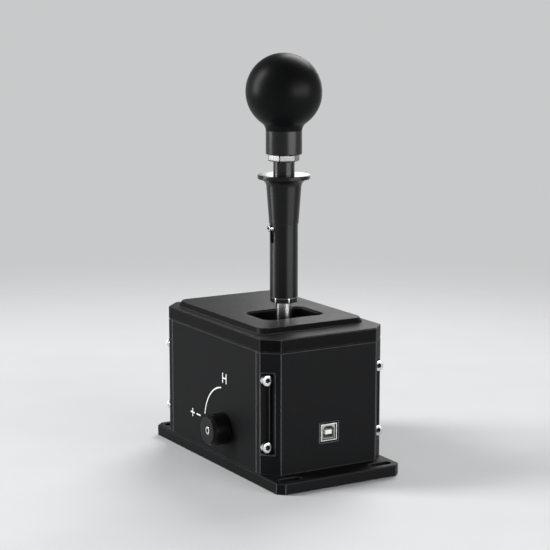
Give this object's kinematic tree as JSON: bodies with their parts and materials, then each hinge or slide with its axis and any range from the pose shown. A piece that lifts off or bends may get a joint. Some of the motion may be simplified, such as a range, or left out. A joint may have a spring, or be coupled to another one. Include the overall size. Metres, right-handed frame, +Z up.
{
  "type": "gear shifter",
  "caption": "Bench-mounted gear shifter for a driving simulator: black box housing, upright lever with ball knob, sprung lift collar, side mode knob and data socket.",
  "frame": {"origin": "middle of the base plate's underside, between its four slots", "axes": "+Z up along the lever, +X to the right seen from the data socket's end, +Y away from that end; the mode knob is on the -X side"},
  "size_m": [0.1043, 0.173, 0.2705],
  "materials": {
    "anodised_black": "black anodised, bead-blasted satin",
    "satin_black": "black anodised, finely turned satin",
    "knob_black": "black anodised ball, fine satin gloss",
    "polished_steel": "ground and polished steel",
    "nickel": "bright nickel-plated nut",
    "screw_steel": "bright stainless cap screws",
    "zinc_steel": "zinc-plated steel",
    "spring_steel": "drawn spring wire",
    "track_steel": "hardened and ground steel",
    "bronze": "sintered bronze",
    "board_green": "solder-masked circuit board",
    "chip_black": "moulded chips and headers",
    "socket_metal": "tinned sheet steel",
    "socket_white": "white moulded insulator",
    "magnet": "nickel-plated magnet"
  },
  "bodies": {
    "housing": {"base_plate": "anodised_black", "front_wall": "anodised_black", "rear_wall": "anodised_black", "left_side_plate": "anodised_black", "right_side_plate": "anodised_black", "top_cover": "anodised_black", "wall_screws": "screw_steel", "tie_bolts": "zinc_steel", "front_bearing_block": "anodised_black", "rear_bearing_block": "anodised_black", "bearing_block_screws": "zinc_steel", "front_bush": "bronze", "rear_bush": "bronze", "track_plate": "track_steel", "track_screws": "zinc_steel", "circuit_board": "board_green", "board_parts": "chip_black", "board_standoffs": "zinc_steel", "board_screws": "zinc_steel", "socket_shell": "socket_metal", "socket_tongue": "socket_white", "side_sensor_board": "board_green", "left_centring_spring": "spring_steel", "right_centring_spring": "spring_steel", "mode_bush": "bronze", "mode_sensor_board": "board_green", "mode_plunger": "zinc_steel", "mode_plunger_ball": "polished_steel"},
    "yoke": {"yoke_frame": "anodised_black", "yoke_axles": "polished_steel", "yoke_bushes": "bronze", "side_magnet": "magnet", "fore_sensor_board": "board_green"},
    "lever": {"pivot_block": "anodised_black", "cross_pin": "polished_steel", "fore_magnet": "magnet", "lever_tail": "track_steel", "detent_ball": "polished_steel", "detent_spring": "spring_steel", "lever_shaft": "polished_steel", "tube_stop_nut": "polished_steel", "spring_stop_ring": "spring_steel", "guide_screw": "screw_steel", "knob_lock_nut": "nickel", "shift_knob": "knob_black", "lift_spring": "spring_steel"},
    "collar": {"lift_collar": "satin_black", "lift_tube": "satin_black"},
    "mode_selector": {"mode_knob": "satin_black", "mode_knob_screw": "screw_steel", "mode_shaft": "polished_steel", "mode_cam": "track_steel", "mode_magnet": "magnet", "mode_shaft_clip": "spring_steel"}
  },
  "joints": [
    {"name": "lever_side", "type": "hinge", "parent": "housing", "child": "yoke", "pos_m": [0, -0.014, 0.045], "axis": [0, 1, 0], "range_deg": [-13, 13], "stiffness_Nm_per_rad": 5, "deforming": ["left_centring_spring", "right_centring_spring"]},
    {"name": "lever_fore_aft", "type": "hinge", "parent": "yoke", "child": "lever", "pos_m": [0, -0.014, 0.045], "axis": [1, 0, 0], "range_deg": [-9.5, 9.5]},
    {"name": "collar_lift", "type": "slide", "parent": "lever", "child": "collar", "axis": [0, 0, 1], "range_m": [0, 0.008], "stiffness_N_per_m": 300, "springref_m": -0.01, "deforming": ["lift_spring"]},
    {"name": "mode_turn", "type": "hinge", "parent": "housing", "child": "mode_selector", "pos_m": [-0.0455, -0.014, 0.027], "axis": [-1, 0, 0], "range_deg": [0, 80]}
  ]
}
